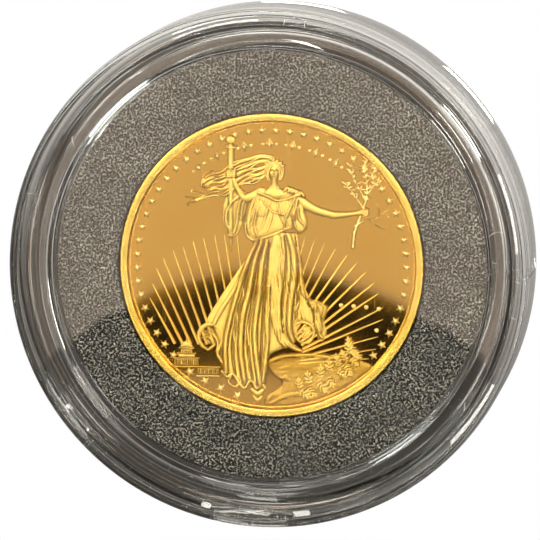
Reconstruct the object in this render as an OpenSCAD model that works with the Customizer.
// Round coin capsule: a clear lid that snaps inside a clear base, with a
// grained black ring between them and a reeded coin held in the ring's bore.
// Origin: centre of the bottom land, which the capsule lies on. +Z runs up out
// of the coin's face, and +Y points at the top of its design.

/* [Coin] */
// Diameter of the coin
coin_d = 22; // [16:0.1:23]
// Thickness of the coin over its rims
coin_t = 1.83; // [1.2:0.01:1.9]
// Number of reeds round the edge
reed_count = 120; // [60:1:150]
// Depth of a reed
reed_depth = 0.07; // [0.03:0.01:0.1]
// Width of the raised rim on each face
coin_rim_w = 0.6; // [0.3:0.01:1]
// Depth of the field below the rim
field_depth = 0.28; // [0.1:0.01:0.3]

/* [Ring] */
// Thickness of the grained ring
ring_t = 1.9; // [1.5:0.05:1.96]
// Radial gap between the ring and the chamber
ring_gap = 0.06; // [0.05:0.01:0.2]
// Radial gap between the coin and the ring's bore
bore_gap = 0.05; // [0.05:0.01:0.2]

/* [Shells] */
// Outside diameter of the closed capsule
capsule_d = 37.2; // [36.8:0.1:40]
// Height of the closed capsule
capsule_h = 7; // [6.8:0.1:8]
// Thickness of each window
window_t = 1.2; // [1:0.05:1.3]
// Height of the chamber between the windows
chamber_h = 2; // [2:0.05:2.2]
// Diameter of the chamber
chamber_d = 31; // [30.5:0.1:31]
// Inside diameter of the flat land round each window
land_inner_d = 31.92; // [31.8:0.02:32.2]
// Outside diameter of the flat land
land_outer_d = 34.4; // [33.8:0.1:34.5]
// Drop from the land to the lid's flange
flange_drop = 0.35; // [0.2:0.05:0.6]

/* [Snap] */
// Width of the base's groove for the lid's tongue
groove_w = 0.95; // [0.8:0.05:1]
// Radial gap on each side of the tongue
tongue_gap = 0.05; // [0.05:0.01:0.1]
// Width of the lip that stands round the lid's flange
lip_w = 0.45; // [0.35:0.05:0.6]
// Height of the snap bead on the tongue
bead_h = 0.03; // [0.01:0.01:0.04]

/* [Marks] */
// Width of the notch for a fingernail
pry_w = 6; // [4:0.1:8]
// Distance from the axis to the back of the notch
pry_flat = 17.6; // [17.4:0.05:17.8]
// Length of the ejector pocket along the rim
pocket_w = 2.3; // [1.4:0.1:3]
// Length of the moulding gate's stub along the rim
gate_w = 1.2; // [0.8:0.1:2]

/* [Hidden] */
$fn = 96;
eps = 0.02;

coin_r = coin_d / 2;
capsule_r = capsule_d / 2;
chamber_r = chamber_d / 2;
ring_r = chamber_r - ring_gap;
ring_bore_r = coin_r + bore_gap;
land_in_r = land_inner_d / 2;
land_out_r = land_outer_d / 2;
lip_r = capsule_r - lip_w;

// The tongue's groove lies just inside the ledge that the flange rests on.
groove_out_r = lip_r - 0.55;
groove_in_r = groove_out_r - groove_w;

// Heights of the stack, from the land that the capsule lies on.
recess = (capsule_h - chamber_h - 2 * window_t) / 2;
floor_z = recess + window_t;
roof_z = floor_z + chamber_h;
flange_z = capsule_h - flange_drop;
lip_z = flange_z + 0.2;
ledge_z = roof_z + 0.7;
groove_z = floor_z - 0.4;
bead_z = floor_z + 0.75;
seat_gap = 0.02;
ring_z = floor_z + seat_gap;
coin_z = floor_z + (chamber_h - coin_t) / 2;

// The face that slopes from a window up to its land ends this far inside it.
window_r = land_in_r - 0.36;

// Angles of the marks, counted from +X.
pry_angle = 266;
gate_angle = 84;
pocket_angle = 219;

module base_profile() {
    polygon([
        [0, recess], [window_r, recess], [land_in_r, 0],
        [land_out_r, 0], [land_out_r + 0.23, 0.3],
        [capsule_r - 0.3, 0.3], [capsule_r - 0.09, 0.39], [capsule_r, 0.6],
        [capsule_r, lip_z - 0.15], [capsule_r - 0.15, lip_z], [lip_r, lip_z],
        [lip_r, ledge_z], [groove_out_r, ledge_z],
        [groove_out_r, bead_z + 0.2], [groove_out_r + 0.1, bead_z + 0.1],
        [groove_out_r + 0.1, bead_z - 0.1], [groove_out_r, bead_z - 0.2],
        [groove_out_r, groove_z], [groove_in_r, groove_z],
        [groove_in_r, roof_z - 0.05], [chamber_r, roof_z - 0.05],
        [chamber_r, floor_z], [0, floor_z]
    ]);
}

module lid_profile() {
    inner = groove_in_r + tongue_gap;
    outer = groove_out_r - tongue_gap;
    toe_z = groove_z + 0.2;
    polygon([
        [0, roof_z], [inner, roof_z], [inner, toe_z + 0.15], [inner + 0.15, toe_z],
        [outer - 0.15, toe_z], [outer, toe_z + 0.15],
        [outer, bead_z - 0.12], [outer + bead_h, bead_z - 0.05],
        [outer + bead_h, bead_z + 0.05], [outer, bead_z + 0.12],
        [outer, ledge_z + seat_gap], [lip_r - 0.05, ledge_z + seat_gap],
        [lip_r - 0.05, flange_z - 0.05], [lip_r - 0.1, flange_z],
        [land_out_r + 0.23, flange_z], [land_out_r, capsule_h],
        [land_in_r, capsule_h], [window_r, capsule_h - recess], [0, capsule_h - recess]
    ]);
}

// Slot through the base's lip for a fingernail. The top of the lip runs on over it.
module lip_notch() {
    rotate(pry_angle)
        translate([lip_r - 0.2, -pry_w / 2 + 0.4, ledge_z + 0.1])
            cube([2, pry_w - 0.8, lip_z - ledge_z - 0.55]);
}

// Straight-backed undercut in the lid's flange, behind that slot.
module flange_undercut() {
    rotate(pry_angle)
        translate([pry_flat, -pry_w / 2, ledge_z - 0.1])
            cube([2, pry_w, flange_z - ledge_z - 0.3]);
}

// Shallow pocket with cut corners in the flange, round a half-round boss.
module ejector_pocket() {
    half = pocket_w / 2;
    cut = 0.28;
    inner = land_out_r + 0.3;
    outer = lip_r - 0.12;
    rotate(pocket_angle)
        translate([0, 0, flange_z - 0.15])
            difference() {
                linear_extrude(1)
                    polygon([
                        [inner, cut - half], [inner, half - cut], [inner + cut, half],
                        [outer, half], [outer, -half], [inner + cut, -half]
                    ]);
                translate([outer, 0, -eps])
                    cylinder(h = 0.15, r = 0.34);
            }
}

// Stub left on the flange where the moulding gate was cut.
module gate_stub() {
    rotate(gate_angle)
        translate([land_out_r + 0.3, -gate_w / 2, flange_z - 0.1])
            cube([0.5, gate_w, 0.22]);
}

module base_shell() {
    color([0.86, 0.88, 0.9, 0.35])
        difference() {
            rotate_extrude()
                base_profile();
            lip_notch();
        }
}

module lid_shell() {
    color([0.9, 0.92, 0.94, 0.35])
        union() {
            difference() {
                rotate_extrude()
                    lid_profile();
                flange_undercut();
                ejector_pocket();
            }
            gate_stub();
        }
}

module gasket_ring() {
    color([0.06, 0.06, 0.065])
        translate([0, 0, ring_z])
            difference() {
                cylinder(h = ring_t, r = ring_r);
                translate([0, 0, -1])
                    cylinder(h = ring_t + 2, r = ring_bore_r);
            }
}

// The reeded outline, with one flat and one groove to each reed.
module reeded_outline() {
    pitch = 360 / reed_count;
    polygon([
        for (i = [0 : reed_count - 1],
             s = [[0, 0], [0.5, 0], [0.62, reed_depth], [0.88, reed_depth]])
            let (a = (i + s[0]) * pitch, r = coin_r - s[1]) [r * cos(a), r * sin(a)]
    ]);
}

// The outline of the blank turned about its axis, with both fields dished.
module coin_profile() {
    rim_in = coin_r - coin_rim_w;
    bevel = 0.12;
    polygon([
        [0, field_depth], [rim_in - 0.12, field_depth], [rim_in, 0],
        [coin_r - bevel, 0], [coin_r + eps, bevel + eps],
        [coin_r + eps, coin_t - bevel - eps], [coin_r - bevel, coin_t],
        [rim_in, coin_t], [rim_in - 0.12, coin_t - field_depth], [0, coin_t - field_depth]
    ]);
}

module coin() {
    color([0.9, 0.68, 0.25])
        translate([0, 0, coin_z])
            intersection() {
                linear_extrude(coin_t)
                    reeded_outline();
                rotate_extrude()
                    coin_profile();
            }
}

base_shell();
gasket_ring();
coin();
lid_shell();
